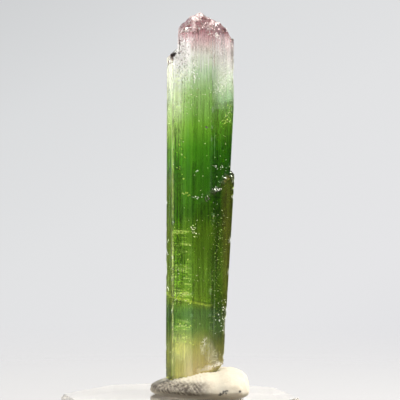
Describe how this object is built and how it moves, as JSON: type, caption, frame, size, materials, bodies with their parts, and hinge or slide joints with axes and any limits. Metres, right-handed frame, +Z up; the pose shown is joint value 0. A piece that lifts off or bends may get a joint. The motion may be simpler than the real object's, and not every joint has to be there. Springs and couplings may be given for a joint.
{
  "type": "watermelon tourmaline crystal",
  "caption": "Long striated nine-sided tourmaline crystal with a faceted dome, stood upright in a lump of putty on an octagonal clear block.",
  "frame": {"origin": "centre of the acrylic block's underside, which is the bottom centre of the bounding box", "axes": "+Z up along the crystal, +X to the right of the crystal's front, +Y to its back"},
  "size_m": [0.032, 0.032, 0.061],
  "materials": {
    "tourmaline": "glassy, striated along its length",
    "putty": "matt, with finger marks",
    "acrylic": "clear, polished"
  },
  "bodies": {
    "root": {"tourmaline_crystal": "tourmaline", "putty": "putty", "acrylic_base": "acrylic"}
  },
  "joints": []
}
